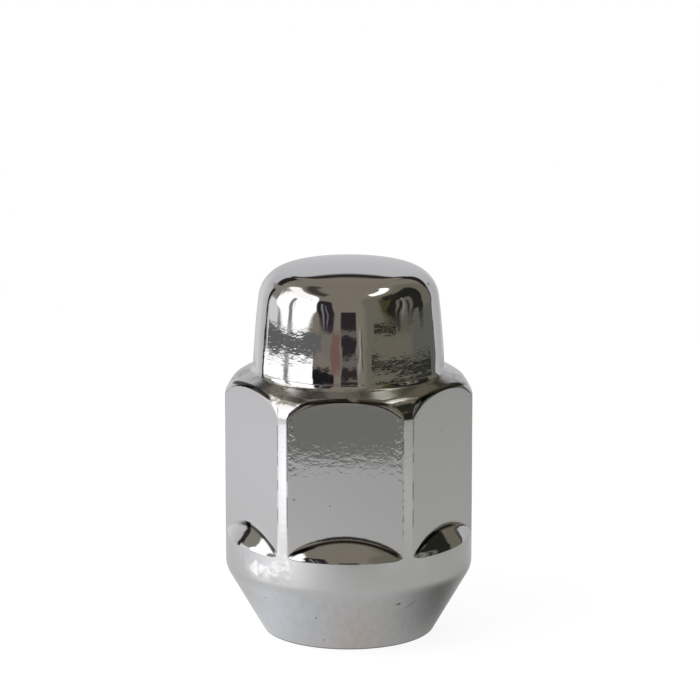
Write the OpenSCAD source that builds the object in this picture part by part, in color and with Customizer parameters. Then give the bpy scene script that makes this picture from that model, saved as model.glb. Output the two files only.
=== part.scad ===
// Closed-end bulge acorn lug nut with a 60 degree conical seat, stood on its seat end.
// The origin is the centre of the open end, and +Z runs up the stud axis to the dome.

/* [Hex] */
// Distance across the six wrench flats
across_flats = 19; // [18.6:0.1:19.4]
// Diameter of the round bar that is left as a band at each hex corner and as the collar
bar_d = 21.4; // [21.2:0.1:21.6]
// Height at which each corner facet meets the middle of its corner band
corner_top = 21.15; // [20.6:0.05:21.4]
// Slope of the corner facets, from the horizontal
facet_slope = 65; // [60:1:70]
// Height of the deck round the cap, at the middle of a flat's upper edge
deck_h = 22.65; // [22.5:0.05:22.8]
// Slope of the deck, from the horizontal
deck_slope = 25; // [20:1:28]

/* [Seat and collar] */
// Diameter of the small end of the seat
seat_small_d = 14.7; // [14.3:0.1:15.2]
// Included angle of the conical seat
seat_angle = 60; // [56:1:64]
// Rounding between the end face and the seat
toe_round = 0.4; // [0.2:0.1:0.5]
// Rounding between the seat and the collar
seat_edge_round = 2; // [1:0.1:2.6]
// Height of the collar's upper edge
collar_top = 8.85; // [8.2:0.05:9.6]
// Slope of the ledge that the wrench flats leave on the collar, from the horizontal
ledge_slope = 50; // [40:1:58]

/* [Cap] */
// Overall height of the nut
nut_h = 32.5; // [32:0.1:34]
// Radius of the cap's wall, run down to the level of the corner bands' top
cap_base_r = 8.45; // [8.3:0.05:8.6]
// Draft of the cap's wall
cap_draft = 4.6; // [3:0.1:6]
// Rounding between the cap's wall and its dome
cap_corner_round = 2.8; // [2:0.1:3.2]
// Radius of the shallow dome
dome_r = 32; // [26:1:60]
// Radius of the hollow between the deck and the cap
cove_r = 0.6; // [0.2:0.1:0.8]

/* [Stud hole] */
// Minor diameter of the M12 x 1.5 thread
thread_minor_d = 10.4; // [10.2:0.1:10.6]
// Depth of the blind hole, without its drill point
hole_depth = 24.5; // [22:0.1:26]
// Included angle of the drill point
drill_angle = 118; // [118:1:140]
// Diameter of the countersink at the mouth
mouth_d = 12.6; // [12.2:0.1:13]
// Included angle of the countersink
mouth_angle = 90; // [90:5:120]

/* [Hidden] */
$fn = 96;

// Steps along each rounded stretch of the outline
arc_steps = 12;
// How far cutting shapes run past what they cut
overrun = 1;

bar_r = bar_d / 2;
flat_r = across_flats / 2;
seat_small_r = seat_small_d / 2;
seat_half = seat_angle / 2;
seat_h = (bar_r - seat_small_r) / tan(seat_half);
bore_r = thread_minor_d / 2;
mouth_r = mouth_d / 2;
mouth_depth = (mouth_r - bore_r) / tan(mouth_angle / 2);
drill_tip = hole_depth + bore_r / tan(drill_angle / 2);

// Points along an arc, from one angle to another
function arc(centre, radius, from, to) = [
    for (i = [0:arc_steps])
        let (angle = from + (to - from) * i / arc_steps)
        centre + radius * [cos(angle), sin(angle)]
];

// Angle of the direction from one point to another
function direction(from, to) = atan2(to.y - from.y, to.x - from.x);

// Direction of length 1 from one point to another
function unit(from, to) = (to - from) / norm(to - from);

// Points along the rounding of a corner between its two neighbours
function rounded(before, corner, after, radius) =
    let (
        back = unit(corner, before),
        ahead = unit(corner, after),
        half = acos(back * ahead) / 2,
        run = radius / tan(half),
        centre = corner + (back + ahead) / norm(back + ahead) * radius / sin(half),
        start = direction(centre, corner + back * run),
        turn = direction(centre, corner + ahead * run) - start
    )
    arc(centre, radius, start, start + turn - 360 * round(turn / 360));

// The cap's wall is the line at wall_offset from the origin along wall_out, and it climbs along wall_up.
wall_out = [cos(cap_draft), sin(cap_draft)];
wall_up = [-sin(cap_draft), cos(cap_draft)];
wall_offset = [cap_base_r, corner_top] * wall_out;

// Centre at a given offset from the origin along wall_out and a given distance above the point below
function centre_beside_wall(offset, point, distance) =
    let (across = offset - point * wall_out)
    offset * wall_out + (point * wall_up + sqrt(distance * distance - across * across)) * wall_up;

dome_centre = [0, nut_h - dome_r];
cap_corner_centre = centre_beside_wall(wall_offset - cap_corner_round, dome_centre, dome_r - cap_corner_round);
dome_start = direction(dome_centre, cap_corner_centre);

// Corners of the outline before they are rounded
toe = [seat_small_r, 0];
seat_edge = [bar_r, seat_h];
deck_edge = [bar_r, deck_h - (bar_r - flat_r) * tan(deck_slope)];
deck_in = [-cos(deck_slope), sin(deck_slope)];
cap_foot = deck_edge + deck_in * (wall_offset - deck_edge * wall_out) / (deck_in * wall_out);
wall_top = cap_corner_centre + cap_corner_round * wall_out;

// Half section of the turned blank, from the end face up to the dome
blank_outline = concat(
    [[0, 0]],
    rounded([0, 0], toe, seat_edge, toe_round),
    rounded(toe, seat_edge, deck_edge, seat_edge_round),
    [deck_edge],
    rounded(deck_edge, cap_foot, wall_top, cove_r),
    arc(cap_corner_centre, cap_corner_round, cap_draft, dome_start),
    arc(dome_centre, dome_r, dome_start, 90)
);

// Half section of what stands outside the wrench flats: the seat, the collar and its sloping ledge
collar_side = bar_r + overrun;
collar_outline = [
    [0, -overrun],
    [collar_side, -overrun],
    [collar_side, collar_top - overrun * tan(ledge_slope)],
    [0, collar_top + bar_r * tan(ledge_slope)]
];

// Half section of the stud hole, with its countersunk mouth and its drill point
hole_outline = [
    [0, -overrun],
    [mouth_r + overrun * tan(mouth_angle / 2), -overrun],
    [bore_r, mouth_depth],
    [bore_r, hole_depth],
    [0, drill_tip]
];

module hex_bar() {
    translate([0, 0, -overrun])
        cylinder(h = nut_h + 2 * overrun, r = flat_r / cos(30), $fn = 6);
}

// Blocks that cut a flat facet on each hex corner, from the corner band up past the deck
module corner_cuts() {
    climb = (cap_foot.y - corner_top) / sin(facet_slope);
    for (turn = [0:60:300])
        rotate([0, 0, turn])
            translate([bar_r, 0, corner_top])
                rotate([0, facet_slope - 90, 0])
                    translate([0, -bar_r / 2, -overrun])
                        cube([2 * overrun, bar_r, climb + overrun]);
}

module lug_nut() {
    color("silver")
        difference() {
            intersection() {
                rotate_extrude() polygon(blank_outline);
                union() {
                    hex_bar();
                    rotate_extrude() polygon(collar_outline);
                }
            }
            corner_cuts();
            rotate_extrude() polygon(hole_outline);
        }
}

lug_nut();
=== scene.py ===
"""Looks of a chrome-plated closed-end lug nut, on a white sheet in a small plain studio."""
import math

import bpy
import numpy as np
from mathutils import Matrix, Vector

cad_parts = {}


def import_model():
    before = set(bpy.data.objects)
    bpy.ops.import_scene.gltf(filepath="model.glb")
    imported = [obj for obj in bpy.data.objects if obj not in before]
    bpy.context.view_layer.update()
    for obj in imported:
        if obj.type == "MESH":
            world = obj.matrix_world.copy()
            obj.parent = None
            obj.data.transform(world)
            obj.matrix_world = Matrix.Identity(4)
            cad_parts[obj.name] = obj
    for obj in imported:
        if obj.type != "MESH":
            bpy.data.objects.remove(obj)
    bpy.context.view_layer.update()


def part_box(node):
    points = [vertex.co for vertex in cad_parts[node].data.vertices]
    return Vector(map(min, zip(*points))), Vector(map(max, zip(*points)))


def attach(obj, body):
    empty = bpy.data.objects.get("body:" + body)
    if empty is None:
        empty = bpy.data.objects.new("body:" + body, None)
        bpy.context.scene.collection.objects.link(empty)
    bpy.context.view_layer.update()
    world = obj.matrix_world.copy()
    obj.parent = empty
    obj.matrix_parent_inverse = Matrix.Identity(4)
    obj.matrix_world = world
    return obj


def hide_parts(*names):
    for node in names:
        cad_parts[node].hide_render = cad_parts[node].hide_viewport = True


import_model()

MM = 0.001

# Sizes of the nut in millimetres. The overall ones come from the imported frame.
NUT_LOW, NUT_HIGH = (np.array(corner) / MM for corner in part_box("lug_nut"))
NUT_HEIGHT = float(NUT_HIGH[2] - NUT_LOW[2])
BAR_RADIUS = float(NUT_HIGH[0] - NUT_LOW[0]) / 2
FLAT_OFFSET = 9.5
CORNER_TOP = 21.15
FACET_SLOPE = 65.0
DECK_HEIGHT = 22.65
DECK_SLOPE = 25.0
SEAT_SMALL_RADIUS = 7.35
SEAT_HALF_ANGLE = 30.0
TOE_ROUND = 0.4
SEAT_EDGE_ROUND = 2.0
COLLAR_TOP = 8.85
LEDGE_SLOPE = 50.0
CAP_BASE_RADIUS = 8.45
CAP_DRAFT = 4.6
CAP_CORNER_ROUND = 2.8
DOME_RADIUS = 32.0
COVE_RADIUS = 0.6
HOLE_RADIUS = 5.2
HOLE_DEPTH = 24.5
DRILL_HALF_ANGLE = 59.0
MOUTH_RADIUS = 6.3

# Fine forms that the solid leaves out, in millimetres
THREAD_PITCH = 1.5
THREAD_DEPTH = 0.8
THREAD_END = 21.5
THREAD_RUN_OUT = 1.6
COLLAR_EDGE_BLEND = 0.34
LEDGE_FOOT_BLEND = 0.5
FLAT_TOP_BLEND = 0.28
FACET_SIDE_BLEND = 0.18
FACET_BLEND = 1.2
MOUTH_EDGE_BLEND = 0.1
PLAN_EDGE_BLEND = 0.05
LEDGE_LIFT = 0.05
# How much the cap wall's slope turns from its middle to either end, in degrees
WALL_BARREL = 2.2

# How far the rounding of a flat's upper edge reaches inwards, as a share of how far it reaches down
TOP_BLEND_REACH = 0.8
# Share of the drill point's radius, and angle on the dome in degrees, at which the last ring before each pole stands
DRILL_POINT_RING = 0.06
DOME_RING = 89.2

# Small dark marks on the near side: millimetres right of the axis, height and radius
SPECKS = ((-2.5, 3.3, 0.09), (-1.9, 1.0, 0.08), (-6.9, 4.6, 0.07), (-1.3, 13.4, 0.06))
# The one scratch there: its middle, right of the axis and up it, and how far it rises for each millimetre
SCRATCH_MIDDLE = (5.5, 4.35)
SCRATCH_CLIMB = 0.75

# The camera: how far it is turned and raised from the front flat, and how far away it stands
CAMERA_TURN = 1.8
CAMERA_RISE = 14.4
CAMERA_DISTANCE = 375.0
CAMERA_AIMS_FROM = 17.0
CAMERA_LENS = 222.5
# The point that the middle of the picture shows, in millimetres right of the axis and up it
PICTURE_MIDDLE = (0.11, 24.75)


# Shape of the nut

def arc(centre, radius, start, stop, steps):
    """Radii and heights along a circle about centre, from angle start to stop in degrees, as columns."""
    angle = np.radians(np.linspace(start, stop, steps))[:, None]
    return centre[0] + radius * np.cos(angle), centre[1] + radius * np.sin(angle)


def line(start, stop, steps):
    """Radii and heights along a straight run from one (radius, height) to another; either may be one per column."""
    share = np.linspace(0, 1, steps)[:, None]
    return tuple(a + (b - a) * share for a, b in zip(start, stop))


def bend(start, corner, stop, steps):
    """A quadratic curve from start to stop that leaves towards corner: the rounding of an edge."""
    share = np.linspace(0, 1, steps)[:, None]
    return tuple(
        a * (1 - share) ** 2 + 2 * c * share * (1 - share) + b * share ** 2
        for a, c, b in zip(start, corner, stop)
    )


def toward(start, stop, distance):
    """The point at a distance from start on the way to stop, for every column."""
    run = np.hypot(stop[0] - start[0], stop[1] - start[1])
    share = np.minimum(distance, 0.45 * run) / run
    return tuple(a + (b - a) * share for a, b in zip(start, stop))


def smooth_min(a, b, blend):
    """The lesser of two values, with the crossing rounded over a band as wide as blend."""
    overlap = np.maximum(blend - np.abs(a - b), 0) / blend
    return np.minimum(a, b) - overlap ** 2 * blend / 4


def column_angles():
    """Angles round the axis, close together where a flat meets a corner band, and alike in all six sectors."""
    edge = math.degrees(math.acos(FLAT_OFFSET / BAR_RADIUS))
    near = 1.1
    side = np.concatenate([
        np.linspace(0, 13, 4, endpoint=False),
        np.linspace(13, edge - near, 10, endpoint=False),
        np.linspace(edge - near, edge + near, 8, endpoint=False),
        np.linspace(edge + near, 30, 3, endpoint=False),
    ])
    sector = np.concatenate([side, [30.0], 60 - side[1:][::-1]])
    return np.radians(30 + np.concatenate([sector + 60 * k for k in range(6)]))


def plan_radius(angle):
    """The hex in plan: the flat's straight line or the bar's circle, whichever is nearer the axis, edges rounded."""
    from_flat = np.degrees(angle) % 60 - 30
    flat = FLAT_OFFSET / np.cos(np.radians(from_flat))
    return smooth_min(flat, np.full_like(flat, BAR_RADIUS), PLAN_EDGE_BLEND)


def beside_wall(offset, point, distance):
    """Centre of a circle at an offset along the cap wall's normal and at a distance above a point."""
    out = np.array([math.cos(math.radians(CAP_DRAFT)), math.sin(math.radians(CAP_DRAFT))])
    up = np.array([-out[1], out[0]])
    across = offset - point @ out
    return offset * out + (point @ up + math.sqrt(distance ** 2 - across ** 2)) * up


def hole_rows(angle):
    """The stud hole from its drill point down to its mouth: a cone, then a wall whose radius is the larger of the
    countersink and a right-hand thread with sloping flanks, which runs out near the blind end."""
    tip = HOLE_DEPTH + HOLE_RADIUS / math.tan(math.radians(DRILL_HALF_ANGLE))
    first = (HOLE_RADIUS * DRILL_POINT_RING, tip - (tip - HOLE_DEPTH) * DRILL_POINT_RING)
    cone = line(first, (HOLE_RADIUS, HOLE_DEPTH), 8)
    height = np.linspace(HOLE_DEPTH, 0, 151)[1:, None]
    turn = (height / THREAD_PITCH - angle / (2 * math.pi)) % 1
    from_crest = np.abs(turn - 0.5) * THREAD_PITCH
    groove = np.clip((from_crest - THREAD_PITCH / 8) * math.tan(math.radians(60)), 0, THREAD_DEPTH)
    full = np.clip((THREAD_END + THREAD_RUN_OUT - height) / THREAD_RUN_OUT, 0, 1)
    countersink = MOUTH_RADIUS - height
    wall = -smooth_min(-(HOLE_RADIUS + groove * full), -countersink, MOUTH_EDGE_BLEND)
    return tip, [cone, (wall, height)]


def seat_rows():
    """The end face, the rounded toe, the conical seat and the rounded edge up to the collar."""
    turn = math.radians(90 - SEAT_HALF_ANGLE) / 2
    toe = (SEAT_SMALL_RADIUS - TOE_ROUND * math.tan(turn), TOE_ROUND)
    seat_height = (BAR_RADIUS - SEAT_SMALL_RADIUS) / math.tan(math.radians(SEAT_HALF_ANGLE))
    edge_run = SEAT_EDGE_ROUND * math.tan(math.radians(SEAT_HALF_ANGLE / 2))
    edge = (BAR_RADIUS - SEAT_EDGE_ROUND, seat_height + edge_run)
    toe_arc = arc(toe, TOE_ROUND, -90, -SEAT_HALF_ANGLE, 7)
    edge_arc = arc(edge, SEAT_EDGE_ROUND, -SEAT_HALF_ANGLE, 0, 9)
    ring = line((MOUTH_RADIUS, 0.0), (toe_arc[0][0], 0.0), 4)
    cone = line((toe_arc[0][-1], toe_arc[1][-1]), (edge_arc[0][0], edge_arc[1][0]), 12)
    return [ring, toe_arc, cone, edge_arc]


def deck_level(radius):
    """Height of the conical deck at a radius, which may be an array or a wire."""
    return DECK_HEIGHT - (radius - FLAT_OFFSET) * math.tan(math.radians(DECK_SLOPE))


def facet_level(along):
    """Height of a corner facet at a distance from the axis along its corner's direction, an array or a wire."""
    return CORNER_TOP + (BAR_RADIUS - along) * math.tan(math.radians(FACET_SLOPE))


def top_height(radius, angle):
    """Height of the top round the cap: the conical deck or a flat facet on the nearest hex corner, whichever is lower,
    with the edge between them rounded."""
    from_corner = (angle + math.pi / 6) % (math.pi / 3) - math.pi / 6
    return smooth_min(deck_level(radius), facet_level(radius * np.cos(from_corner)), FACET_BLEND)


def hex_rows(plan, angle):
    """The collar, the ledge that a flat leaves on it and the flat or corner band, with each edge rounded, up to the
    start of the top. Where the plan reaches the bar's radius the ledge shrinks to a short upright run."""
    bar = np.full_like(plan, BAR_RADIUS)
    ledge_rise = (bar - plan) * math.tan(math.radians(LEDGE_SLOPE))
    collar_edge = (bar, np.full_like(plan, COLLAR_TOP - LEDGE_LIFT))
    ledge_foot = (plan, COLLAR_TOP + ledge_rise + LEDGE_LIFT)
    flat_top = (plan, top_height(plan, angle))
    toward_corner = (plan - FLAT_OFFSET) / (BAR_RADIUS - FLAT_OFFSET)
    top_blend = FLAT_TOP_BLEND + FACET_SIDE_BLEND * np.sin(np.pi * toward_corner)
    below_edge = (bar, collar_edge[1] - COLLAR_EDGE_BLEND)
    edge_rest = toward(collar_edge, ledge_foot, COLLAR_EDGE_BLEND)
    foot_start = toward(ledge_foot, collar_edge, LEDGE_FOOT_BLEND)
    above_foot = (plan, ledge_foot[1] + LEDGE_FOOT_BLEND)
    below_top = (plan, flat_top[1] - top_blend)
    rim = plan - TOP_BLEND_REACH * top_blend
    rows = [
        bend(below_edge, collar_edge, edge_rest, 8),
        line(edge_rest, foot_start, 5),
        bend(foot_start, ledge_foot, above_foot, 10),
        line(above_foot, below_top, 20),
        bend(below_top, flat_top, (rim, top_height(rim, angle)), 10),
    ]
    return rows, rim


def cap_rows(rim, angle):
    """The top round the cap, the cove, the drafted wall with a slight barrel, the corner and the shallow dome. The
    cove's circle touches the deck's line and the wall's line. The wall leaves the cove steeper and meets the corner
    flatter than its draft, along the curve between the two slopes."""
    draft = math.radians(CAP_DRAFT)
    slope = math.radians(DECK_SLOPE)
    out = np.array([math.cos(draft), math.sin(draft)])
    wall = CAP_BASE_RADIUS * out[0] + CORNER_TOP * out[1]
    deck_up = np.array([math.sin(slope), math.cos(slope)])
    deck = np.array([FLAT_OFFSET, DECK_HEIGHT]) @ deck_up
    cove = np.linalg.solve([out, deck_up], [wall + COVE_RADIUS, deck + COVE_RADIUS])
    dome = np.array([0, NUT_HEIGHT - DOME_RADIUS])
    corner = beside_wall(wall - CAP_CORNER_ROUND, dome, DOME_RADIUS - CAP_CORNER_ROUND)
    dome_from = math.degrees(math.atan2(*(corner - dome)[::-1]))
    cove_arc = arc(cove, COVE_RADIUS, 270 - DECK_SLOPE, CAP_DRAFT - WALL_BARREL + 180, 10)
    corner_arc = arc(corner, CAP_CORNER_ROUND, CAP_DRAFT + WALL_BARREL, dome_from, 24)
    dome_arc = arc(dome, DOME_RADIUS, dome_from, DOME_RING, 14)
    top_radius = rim + (cove_arc[0][0, 0] - rim) * np.linspace(0, 1, 26)[:, None]
    top = (top_radius, top_height(top_radius, angle))
    foot = (cove_arc[0][-1, 0], cove_arc[1][-1, 0])
    head = (corner_arc[0][0, 0], corner_arc[1][0, 0])
    lean_at_foot = math.tan(math.radians(CAP_DRAFT - WALL_BARREL))
    lean_at_head = math.tan(math.radians(CAP_DRAFT + WALL_BARREL))
    level = (head[0] - foot[0] + lean_at_head * (head[1] - foot[1])) / (lean_at_head - lean_at_foot)
    middle = (foot[0] - lean_at_foot * level, foot[1] + level)
    side = bend(foot, middle, head, 18)
    return [top, cove_arc, side, corner_arc, dome_arc]


def nut_surface():
    """The whole nut as one closed surface: rings of points from the drill point, down the hole, out across the end
    face and up the outside to the middle of the dome."""
    angle = column_angles()
    plan = plan_radius(angle)
    tip, inside = hole_rows(angle)
    hexagon, rim = hex_rows(plan, angle)
    blocks = inside + seat_rows() + hexagon + cap_rows(rim, angle)
    wide = np.ones_like(angle)
    radius = np.concatenate([blocks[0][0] * wide] + [r[1:] * wide for r, _ in blocks[1:]])
    height = np.concatenate([blocks[0][1] * wide] + [z[1:] * wide for _, z in blocks[1:]])
    rings = np.stack([radius * np.cos(angle), radius * np.sin(angle), height], axis=-1)
    points = np.concatenate([[[0, 0, tip]], rings.reshape(-1, 3), [[0, 0, NUT_HEIGHT]]]) * MM
    rows, columns = radius.shape
    place = 1 + np.arange(rows * columns).reshape(rows, columns)
    beside = np.roll(place, -1, axis=1)
    quads = np.stack([place[:-1], beside[:-1], beside[1:], place[1:]], axis=-1).reshape(-1, 4)
    last = len(points) - 1
    tip_fan = np.stack([np.zeros(columns, int), beside[0], place[0]], axis=-1)
    dome_fan = np.stack([place[-1], beside[-1], np.full(columns, last)], axis=-1)
    return points, [quads, tip_fan, dome_fan]


def mesh_object(name, points, face_sets):
    """A smooth-shaded mesh object at the origin from an array of points and arrays of face corners."""
    mesh = bpy.data.meshes.new(name)
    faces = [face for one_set in face_sets for face in one_set.tolist()]
    mesh.from_pydata(points.tolist(), [], faces)
    mesh.polygons.foreach_set("use_smooth", np.ones(len(faces), bool))
    mesh.update()
    piece = bpy.data.objects.new(name, mesh)
    bpy.context.scene.collection.objects.link(piece)
    return piece


# Shader expressions

class Wire:
    """An output socket of a node. Arithmetic with numbers or other wires adds Math nodes."""

    def __init__(self, graph, socket):
        self.graph = graph
        self.socket = socket

    def maths(self, operation, *values):
        return self.graph.node("ShaderNodeMath", {"operation": operation}, dict(enumerate(values)))

    def __add__(self, other):
        return self.maths("ADD", self, other)

    __radd__ = __add__

    def __sub__(self, other):
        return self.maths("SUBTRACT", self, other)

    def __rsub__(self, other):
        return self.maths("SUBTRACT", other, self)

    def __mul__(self, other):
        return self.maths("MULTIPLY", self, other)

    __rmul__ = __mul__

    def __truediv__(self, other):
        return self.maths("DIVIDE", self, other)

    def __rtruediv__(self, other):
        return self.maths("DIVIDE", other, self)

    def __pow__(self, other):
        return self.maths("POWER", self, other)

    def size(self):
        return self.maths("ABSOLUTE", self)

    def sine(self):
        return self.maths("SINE", self)

    def cosine(self):
        return self.maths("COSINE", self)

    def wrapped(self, reach):
        """The value brought between -reach and reach by whole steps of twice reach."""
        return self.maths("WRAP", self, reach, -reach)

    def lesser(self, other, blend):
        return self.maths("SMOOTH_MIN", self, other, blend)

    def above(self, edge, softness):
        """0 below edge and 1 above it, over a soft step."""
        settings = {"interpolation_type": "SMOOTHSTEP"}
        ends = {"From Min": edge - softness, "From Max": edge + softness}
        return self.graph.node("ShaderNodeMapRange", settings, {"Value": self, **ends})

    def below(self, edge, softness):
        return 1 - self.above(edge, softness)


class Graph:
    """The node tree of a material or of the world."""

    def __init__(self, owner):
        owner.use_nodes = True
        self.tree = owner.node_tree
        self.tree.nodes.clear()

    def node(self, kind, settings, sockets, output=0):
        """Adds a node: its settings are set first, then each socket takes a value or a wire."""
        made = self.tree.nodes.new(kind)
        for name, value in settings.items():
            setattr(made, name, value)
        for key, value in sockets.items():
            if isinstance(value, Wire):
                self.tree.links.new(value.socket, made.inputs[key])
            else:
                made.inputs[key].default_value = value
        return Wire(self, made.outputs[output])

    def object_point(self):
        return self.node("ShaderNodeTexCoord", {}, {}, "Object")

    def axes(self, vector):
        split = self.node("ShaderNodeSeparateXYZ", {}, {0: vector}).socket.node
        return [Wire(self, socket) for socket in split.outputs]

    def noise(self, vector, scale, detail=2.0, roughness=0.5):
        values = {"Vector": vector, "Scale": scale, "Detail": detail, "Roughness": roughness}
        return self.node("ShaderNodeTexNoise", {}, values)

    def stretched(self, vector, scale, turn=(0.0, 0.0, 0.0)):
        return self.node("ShaderNodeMapping", {}, {"Vector": vector, "Rotation": turn, "Scale": scale})

    def mix(self, share, first, second):
        """First colour where share is 0, second where it is 1."""
        return self.node("ShaderNodeMix", {"data_type": "RGBA"}, {0: share, 6: first, 7: second}, 2)

    def scaled(self, colour, level):
        """A colour times a level."""
        return self.node("ShaderNodeVectorMath", {"operation": "SCALE"}, {0: colour, "Scale": level})

    def light_path(self, ray):
        return self.node("ShaderNodeLightPath", {}, {}, ray)

    def close(self, shader, kind="ShaderNodeOutputMaterial"):
        end = self.tree.nodes.new(kind)
        self.tree.links.new(shader.socket, end.inputs["Surface"])


def paint(red, green, blue):
    return (red, green, blue, 1.0)


def grey(level):
    return paint(level, level, level)


# Colours of the plate, of what lies on it and of the shade painted on it
CLEAN_PLATE = paint(0.64, 0.64, 0.645)
PIT = paint(0.22, 0.21, 0.2)
CREASE_PAINTED_SHADE = paint(0.05, 0.048, 0.045)
SPECK = paint(0.12, 0.115, 0.105)
DRAWN_LINE = grey(0.5)
DECK_PAINTED_SHADE = paint(0.26, 0.25, 0.2)
DECK_MOTTLE = paint(0.2, 0.19, 0.16)
FACET_EDGE_PAINTED_SHADE = paint(0.09, 0.088, 0.06)
WORN_EDGE = paint(0.16, 0.155, 0.15)
BARE_STEEL = paint(0.24, 0.235, 0.225)

# The functions below take the point's x, y and z in millimetres.

def around(x, y, first):
    """Radius of a point, and its angle from the nearest of six directions, one of which is at the angle first."""
    turn = x.maths("ARCTAN2", y, x) - first
    return (x * x + y * y) ** 0.5, turn.wrapped(math.pi / 6)


def creases(graph, point, x, y, z):
    """Share of painted shade along the lower and upper end of each flat, in broken lines, which stands in for the
    shade
    and dark reflections there: close to the flat's plane and to the height at which the ledge or the top meets it."""
    radius, from_flat = around(x, y, math.pi / 6)
    out = radius * from_flat.cosine()
    across = (radius * from_flat.sine()).size()
    foot = COLLAR_TOP + (BAR_RADIUS - radius) * math.tan(math.radians(LEDGE_SLOPE))
    near_foot = (z - foot - 0.08).size().below(0.13, 0.05) * out.below(FLAT_OFFSET + 0.16, 0.05)
    near_foot = near_foot * across.below(4.6, 0.3) * x.size().below(9.2, 0.4)
    near_top = (z - deck_level(radius) + 0.07).size().below(0.2, 0.04) * out.above(FLAT_OFFSET - 0.18, 0.04)
    broken = graph.noise(point, 700, 2.0).above(0.24, 0.06)
    return near_foot + near_top * across.below(3.6, 0.3) * broken


def on_deck(x, y, z):
    """Share of the conical deck round the cap."""
    return (z - deck_level((x * x + y * y) ** 0.5)).size().below(0.09, 0.05) * z.above(22.2, 0.1)


def on_hexagon(z):
    """Share of the upright part of the flats and corner bands."""
    return z.above(11.0, 0.8) * z.below(21.3, 0.3)


def facet_edges(x, y, z):
    """Share of the edges between the deck and the corner facets."""
    radius, from_corner = around(x, y, 0.0)
    deck = deck_level(radius)
    facet = facet_level(radius * from_corner.cosine())
    return (deck - facet).size().below(0.5, 0.3) * (z - deck).size().below(0.35, 0.1)


def past_flat(x, y):
    """How far a point lies past the nearest upright edge of a flat, less than 0 on the flat itself."""
    radius, from_flat = around(x, y, math.pi / 6)
    return radius * from_flat.sine().size() - math.sqrt(BAR_RADIUS ** 2 - FLAT_OFFSET ** 2)


def blemishes(x, y, z):
    """Share of small dark marks: four specks and one scratch on the near side."""
    marks = 0.0
    for side, height, size in SPECKS:
        away = ((x - side) ** 2 + (z - height) ** 2) ** 0.5
        marks = away.below(size, 0.05) + marks
    along = x - SCRATCH_MIDDLE[0]
    scratch = (z - SCRATCH_MIDDLE[1] - along * SCRATCH_CLIMB).size().below(0.035, 0.03)
    return (marks + scratch * along.size().below(0.45, 0.1)) * y.below(0, 1)


def plate_relief(graph, point, x, y, z):
    """Unevenness of the plate: a slow swell, a fine grain drawn out round the nut that is calmer in the middle of the
    cap, a ripple on the cap's wall, a few runs on the collar at the left and fine dents beside the flats' edges."""
    slow = graph.noise(point, 260, 1.0)
    grain = graph.noise(graph.stretched(point, (1500.0, 1500.0, 2600.0)), 1.0, 2.0, 0.6)
    calm = z.above(22.8, 0.3) * (x + 0.6).size().below(2.6, 0.9)
    grain = grain * z.below(28.6, 1.2) * (1 - 0.75 * calm)
    ripple = graph.noise(graph.stretched(point, (1300.0, 1300.0, 420.0)), 1.0, 1.0)
    ripple = ripple * z.above(23.4, 0.5) * z.below(29.0, 1.5)
    drips = graph.noise(graph.stretched(point, (1000.0, 1000.0, 700.0)), 1.0, 1.0).above(0.5, 0.18)
    drips = drips * x.below(-4.6, 0.7) * y.below(-3.5, 1.5) * (z - 7.4).size().below(0.9, 0.5)
    edge = past_flat(x, y)
    dents = graph.noise(point, 2600, 1.0).above(0.54, 0.16) * edge.above(-0.7, 0.3) * edge.below(-0.08, 0.04)
    dents = dents * on_hexagon(z) * z.above(15.8, 1.0)
    return slow * 0.6 + grain * 0.6 + ripple * 1.6 + drips * 2.5 + dents * 0.55


def plate_colour(graph, point, x, y, z, pits, deck):
    """Colour of the plate: clean but for pits, painted shade along the flats' ends, specks, drawn lines on the seat, a
    deck with painted shade at its right front and mottled, painted shade at the facets' edges and wear at the flats'
    edges."""
    colour = graph.mix(pits, CLEAN_PLATE, PIT)
    # Painted shade: dark lines along the flats' lower and upper edges stand in for the shade and dark reflections
    # there.
    colour = graph.mix(creases(graph, point, x, y, z), colour, CREASE_PAINTED_SHADE)
    colour = graph.mix(blemishes(x, y, z) * 0.7, colour, SPECK)
    drawn = graph.noise(graph.stretched(point, (1500.0, 1500.0, 40.0)), 1.0, 2.0, 0.6).above(0.5, 0.2)
    colour = graph.mix(drawn * z.below(5.6, 0.8) * 0.3, colour, DRAWN_LINE)
    # Painted shade: the deck's right front is darkened, which dims the lamp's reflection there.
    painted_deck_shade = x.above(1.0, 1.2) * y.below(-2.0, 2.0)
    colour = graph.mix(deck * painted_deck_shade * 0.75, colour, DECK_PAINTED_SHADE)
    mottle = graph.noise(point, 900, 3.0, 0.7).above(0.56, 0.08)
    colour = graph.mix(deck * mottle * 0.5, colour, DECK_MOTTLE)
    # Painted shade: dark blotches along the facets' edges stand in for dark reflections and break up the lamp's
    # highlight.
    facet_edge_shade = facet_edges(x, y, z) * graph.noise(point, 1500, 2.0).above(0.5, 0.08)
    colour = graph.mix(facet_edge_shade * 0.8, colour, FACET_EDGE_PAINTED_SHADE)
    worn = past_flat(x, y).size().below(0.07, 0.04) * graph.noise(point, 800, 2.0).above(0.53, 0.06)
    return graph.mix(worn * on_hexagon(z) * 0.6, colour, WORN_EDGE)


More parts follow.
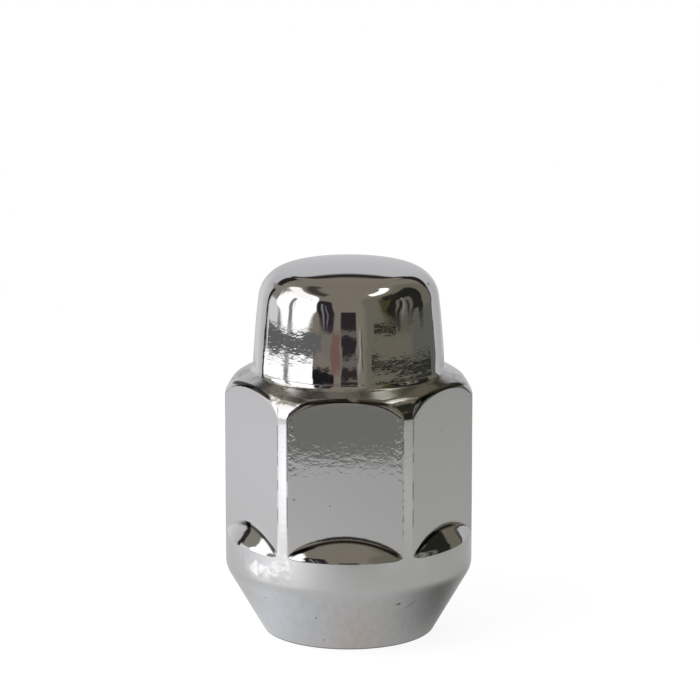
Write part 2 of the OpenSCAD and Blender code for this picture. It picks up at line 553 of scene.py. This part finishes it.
def chrome():
    """Bright chrome plate with a few pits, fine scratches and smudges on the outside, and dull bare steel in the
    threaded hole."""
    material = bpy.data.materials.new("chrome_plate")
    graph = Graph(material)
    point = graph.object_point()
    x, y, z = (axis / MM for axis in graph.axes(point))
    inside = ((x * x + y * y) ** 0.5).below(6.25, 0.1) * z.below(28.5, 0.2)
    spots = graph.node("ShaderNodeTexVoronoi", {}, {"Vector": point, "Scale": 520.0})
    pits = spots.below(0.1, 0.04) * graph.noise(point, 700, 0.0).above(0.72, 0.02)
    streaks = graph.noise(graph.stretched(point, (900.0, 900.0, 60.0), (0.3, 0.5, 0.2)), 1.0, 0.0)
    scratches = streaks.above(0.8, 0.01)
    smudges = graph.noise(point, 160, 4.0, 0.6).above(0.55, 0.2)
    deck = on_deck(x, y, z)
    relief = plate_relief(graph, point, x, y, z) - pits * 0.8 - scratches * 0.2
    normal = graph.node("ShaderNodeBump", {}, {"Height": relief, "Distance": 0.01 * MM, "Strength": 1.0})
    colour = graph.mix(inside, plate_colour(graph, point, x, y, z, pits, deck), BARE_STEEL)
    roughness = 0.03 + smudges * 0.025 + scratches * 0.1 + inside * 0.3 + deck * 0.13
    surface = graph.node("ShaderNodeBsdfPrincipled", {}, {
        "Base Color": colour, "Metallic": 1.0, "Roughness": roughness, "Normal": normal,
    })
    graph.close(surface)
    return material


# Studio

# What the plate mirrors above the floor, each patch painted over those before it: its azimuths from the camera's side,
# positive to the picture's right, and its elevations, in degrees; its colour; the softness of its edge; how far its
# corners are rounded; and how far it leans sideways for each degree up and rises for each degree across.
ROOM = (0.27, 0.235, 0.195)
PATCHES = {
    "right_wall": ((20, 140), (-40, 56), (0.19, 0.176, 0.135), 4.0, 20, 0.0, 0.0),
    "right_wall_end": ((84, 140), (-40, -2), (0.145, 0.145, 0.125), 3.0, 4, 0.0, 0.0),
    "right_shade": ((43, 62), (-2, 48), (0.075, 0.07, 0.032), 3.0, 20, 0.1, 0.0),
    "right_flag": ((55, 117), (-3.8, 50), (0.022, 0.022, 0.018), 1.5, 30, 0.6, -0.06),
    "right_flag_window": ((64, 93), (-3.4, 33), (0.17, 0.162, 0.13), 2.0, 14, 0.3, -0.06),
    "right_corner_flag": ((56, 84), (38, 52), (0.03, 0.03, 0.022), 2.0, 8, 0.3, 0.0),
    "right_flag_end": ((97.5, 109), (-5, 34), (0.025, 0.025, 0.02), 1.5, 8, 0.0, 0.0),
    "right_fold": ((68, 73), (-3, 30), (0.025, 0.025, 0.02), 1.5, 5, 0.4, -0.06),
    "right_last_fold": ((81, 85), (-3, 26), (0.04, 0.04, 0.034), 1.5, 5, 0.2, -0.06),
    "right_light_fold": ((76, 78.5), (-2, 36), (0.3, 0.3, 0.27), 1.0, 3, 0.3, -0.06),
    "right_rail": ((31, 60), (-2.3, -1.2), (0.02, 0.02, 0.015), 0.3, 1.5, 0.0, -0.06),
    "right_table": ((27, 118), (-9.0, -7.4), (0.035, 0.033, 0.027), 0.4, 0.5, 0.0, -0.046),
    "top_lamp": ((47, 124), (60.0, 67.5), (1.8, 1.8, 1.7), 1.0, 9, 0.0, 0.0),
    "left_wall": ((-142, -96), (-40, 46), (0.3, 0.285, 0.25), 4.0, 20, 0.0, 0.0),
    "left_wall_low": ((-121, -100), (-40, 12), (0.9, 0.9, 0.91), 3.0, 6, 0.0, 0.0),
    "left_shade": ((-140, -48), (58, 68), (0.075, 0.06, 0.052), 3.0, 8, 0.0, 0.0),
    "left_softbox": ((-109, -43), (-4.8, 54), (1.6, 1.6, 1.6), 1.2, 30, -0.18, 0.065),
    "left_softbox_head": ((-126, -62), (39, 54), (1.5, 1.45, 1.4), 1.5, 15, 0.0, 0.0),
    "left_softbox_rib": ((-83, -77), (-4.5, 34), (0.3, 0.3, 0.32), 1.4, 4, -0.12, 0.0),
    "left_flag": ((-43, -21), (-2.0, 44), (0.035, 0.027, 0.033), 1.2, 12, -0.2, 0.0),
    "left_flag_fold": ((-36, -33), (-1, 34), (0.26, 0.25, 0.26), 0.8, 2, -0.2, 0.0),
    "left_flag_second_fold": ((-29, -27.5), (-1, 30), (0.2, 0.19, 0.2), 0.6, 2, -0.2, 0.0),
    "left_table": ((-118, -34), (-7.3, -4.2), (0.16, 0.16, 0.16), 0.5, 0.4, 0.0, 0.055),
    "left_sheet": ((-124, -43), (-40, -7.6), (1.6, 1.6, 1.6), 0.5, 0.5, 0.0, 0.05),
    "left_sheet_rib": ((-85, -77), (-40, -7.4), (0.3, 0.3, 0.31), 1.6, 1.0, 0.0, 0.0),
    "left_block": ((-43, -18), (-40, -6.8), (0.015, 0.013, 0.016), 0.4, 0.6, 0.0, 0.0),
    "brown_strip": ((-34, -20), (-5.6, -1.6), (0.23, 0.21, 0.18), 0.5, 0.5, 0.0, 0.0),
    "red_strip": ((-21, -11), (-7.0, -1.6), (0.23, 0.135, 0.115), 0.8, 0.6, 0.0, 0.0),
    "front_flag": ((-9.5, 9), (-8.7, 10), (0.035, 0.027, 0.03), 0.6, 0.6, 0.0, 0.0),
    "front_flag_gap": ((-9.5, 9), (-2.1, -0.8), (0.17, 0.15, 0.135), 0.3, 0.3, 0.0, 0.0),
    "front_flag_low_gap": ((-9.5, 9), (-6.6, -4.9), (0.19, 0.17, 0.155), 0.4, 0.4, 0.0, 0.0),
    "front_strip": ((11.5, 14), (-7.0, -0.6), (0.42, 0.41, 0.37), 0.8, 0.6, 0.0, 0.0),
    "front_slit": ((15.5, 17), (-7.0, -1.3), (0.05, 0.05, 0.04), 0.5, 0.5, 0.0, 0.0),
    "back_edge": ((127.0, 240), (-40, 39.0), (0.025, 0.023, 0.02), 0.8, 66, 0.0, 0.09),
    "back_sheet": ((127.5, 236.5), (-40, 30.5), (0.63, 0.63, 0.645), 0.8, 66, 0.0, 0.09),
    "back_sheet_left": ((198, 224), (-40, 12), (0.82, 0.82, 0.83), 10.0, 10, 0.0, 0.0),
    "back_sheet_right": ((138, 160), (-40, 12), (0.54, 0.54, 0.54), 9.0, 9, 0.0, 0.0),
    "left_wall_head": ((-133, -117), (22, 42), (0.3, 0.29, 0.25), 3.0, 6, 1.2, 0.0),
    "back_edge_middle": ((160, 200), (25.3, 70), (0.025, 0.023, 0.02), 0.8, 30, 0.0, 0.0),
    "back_middle": ((159.5, 200.5), (28.8, 70), ROOM, 0.8, 30, 0.0, 0.0),
}


def heading(azimuth, elevation):
    """Unit direction from the nut, with azimuth counted from the camera's side, positive to the picture's right."""
    turn = math.radians(azimuth + CAMERA_TURN)
    rise = math.radians(elevation)
    return np.array([math.sin(turn) * math.cos(rise), -math.cos(turn) * math.cos(rise), math.sin(rise)])


def reflected_room(graph):
    """The surroundings in reflections, painted by direction: the patches in turn over a plain dim room."""
    x, y, z = graph.axes(graph.node("ShaderNodeTexCoord", {}, {}, "Generated"))
    degrees = 180 / math.pi
    azimuth = x.maths("ARCTAN2", x, 0 - y) * degrees - CAMERA_TURN
    elevation = z.maths("ARCSINE", z) * degrees
    seen = paint(*ROOM)
    for azimuths, elevations, colour, softness, corner, lean, climb in PATCHES.values():
        across = (azimuth - sum(azimuths) / 2).wrapped(180)
        up = elevation - sum(elevations) / 2
        beside = (azimuths[1] - azimuths[0]) / 2 - (across - up * lean).size()
        beyond = (elevations[1] - elevations[0]) / 2 - (up - across * climb).size()
        seen = graph.mix(beside.lesser(beyond, corner).above(0, softness), seen, paint(*colour))
    return seen


FLOOR_RADIUS = 115
# How bright the white sheet is in reflections, and how much that falls for each millimetre to the right
SHEET_LEVEL = 0.525
SHEET_FALL = 0.0012
# Painted pools of light and shade on it, brighter and darker: strength; place right of the axis and behind it, and
# spread, in millimetres
POOLS = (
    (0.62, (-56, -34), 26),
    (0.16, (-66, 34), 34),
    (0.2, (-26, -22), 9),
    (0.12, (50, -38), 15),
    (-0.04, (0, -60), 20),
    (0.2, (-9, -5), 4),
    (-0.32, (12, -3), 5.5),
    (-0.1, (16, 8), 8),
    (0.25, (-44, -32), 6),
    (0.3, (-57, -39), 7),
    (0.35, (-72, -47), 9),
    (0.8, (-36, -8), 5),
    (0.25, (-33, -18), 3),
    (0.4, (-29.5, -25), 1.8),
)
# The painted contact shadow, a dark line under the nut, ends at the first radius, and the sheet's front edge lies this
# far behind the axis
TOE_SHADOW_RADIUS = 7.42
SHEET_FRONT = -76.0


def floor():
    """A round pale floor. The camera sees it white with the nut's soft shadow; reflections see a white sheet that is
    brighter at the front left, shaded close to the nut at the right, and fades to a darker table in front."""
    radius = FLOOR_RADIUS * MM
    angle = np.linspace(0, 2 * math.pi, 97)[:-1]
    points = np.stack([radius * np.cos(angle), radius * np.sin(angle), 0 * angle], axis=-1)
    disc = mesh_object("floor", points, [np.arange(96)[None, :]])
    material = bpy.data.materials.new("white_sheet")
    graph = Graph(material)
    x, y, _ = graph.axes(graph.object_point())
    side = x / MM
    depth = y / MM

    def pool(centre, spread):
        away = (side - centre[0]) ** 2 + (depth - centre[1]) ** 2
        return away.maths("EXPONENT", away * (-0.5 / spread ** 2))

    sheet = SHEET_LEVEL - side * SHEET_FALL
    # Painted light and shade: pools brighten or darken the sheet in reflections.
    for strength, centre, spread in POOLS:
        sheet = sheet + strength * pool(centre, spread)
    # Painted contact shadow: the sheet darkens inside the toe's radius.
    from_axis = (side * side + depth * depth) ** 0.5
    sheet = sheet * (0.3 + 0.7 * from_axis.above(TOE_SHADOW_RADIUS, 0.08))
    tint = graph.mix(side.above(0, 60), paint(0.985, 0.98, 1.0), paint(1.0, 1.005, 0.955))
    tint = graph.mix(pool((-9, -6), 5), tint, paint(0.95, 0.98, 1.03))
    tint = graph.mix(pool((1, -8), 1.8), tint, paint(1.0, 0.9, 0.85))
    white_part = graph.scaled(tint, sheet)
    seen = graph.mix(depth.above(SHEET_FRONT, 2.0), paint(0.21, 0.213, 0.198), white_part)
    reflected = graph.node("ShaderNodeEmission", {}, {"Color": seen, "Strength": 1.0})
    lit = graph.node("ShaderNodeBsdfDiffuse", {}, {"Color": grey(0.25)})
    glow = graph.node("ShaderNodeEmission", {}, {"Color": grey(1.0), "Strength": 0.88})
    pale = graph.node("ShaderNodeAddShader", {}, {0: lit, 1: glow})
    mirrored = graph.node("ShaderNodeMixShader", {}, {0: graph.light_path("Is Glossy Ray"), 1: pale, 2: reflected})
    clear = graph.node("ShaderNodeBsdfTransparent", {}, {})
    below = graph.node("ShaderNodeNewGeometry", {}, {}, "Backfacing")
    graph.close(graph.node("ShaderNodeMixShader", {}, {0: below, 1: mirrored, 2: clear}))
    disc.data.materials.append(material)


def world():
    """White to the camera, a plain soft light on everything, and the painted room in reflections."""
    surroundings = bpy.data.worlds.new("studio")
    bpy.context.scene.world = surroundings
    graph = Graph(surroundings)
    shade = graph.mix(graph.light_path("Is Glossy Ray"), grey(0.45), reflected_room(graph))
    colour = graph.mix(graph.light_path("Is Camera Ray"), shade, grey(1.0))
    graph.close(graph.node("ShaderNodeBackground", {}, {"Color": colour, "Strength": 1.0}), "ShaderNodeOutputWorld")


def aim(direction):
    """Rotation that turns a lamp or a camera, which look down their own -Z, along a direction, upright."""
    return Vector(direction).to_track_quat("-Z", "Y").to_euler()


def lamp(name, azimuth, elevation, distance, size, watts):
    """A square soft lamp turned to the nut and kept out of reflections, with its distance and size in millimetres."""
    data = bpy.data.lights.new(name, "AREA")
    data.size = size * MM
    data.energy = watts
    holder = bpy.data.objects.new(name, data)
    place = heading(azimuth, elevation) * distance * MM
    holder.location = place
    holder.rotation_euler = aim(-place)
    holder.visible_glossy = False
    bpy.context.scene.collection.objects.link(holder)


def studio():
    floor()
    world()
    lamp("soft_key", azimuth=-60, elevation=50, distance=450, size=300, watts=0.5)


def camera():
    data = bpy.data.cameras.new("camera")
    data.sensor_width = 36.0
    data.lens = CAMERA_LENS
    data.clip_start = 0.01
    data.clip_end = 10.0
    holder = bpy.data.objects.new("camera", data)
    place = heading(0, CAMERA_RISE) * CAMERA_DISTANCE + np.array([0, 0, CAMERA_AIMS_FROM])
    right = heading(90, 0)
    middle = right * PICTURE_MIDDLE[0] + np.array([0, 0, PICTURE_MIDDLE[1]])
    holder.location = place * MM
    holder.rotation_euler = aim(middle - place)
    bpy.context.scene.collection.objects.link(holder)
    bpy.context.scene.camera = holder


def dress_nut():
    points, face_sets = nut_surface()
    nut = mesh_object("chrome_nut", points, face_sets)
    nut.data.materials.append(chrome())
    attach(nut, "root")
    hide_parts("lug_nut")


bpy.context.scene.view_settings.view_transform = "Standard"
dress_nut()
studio()
camera()
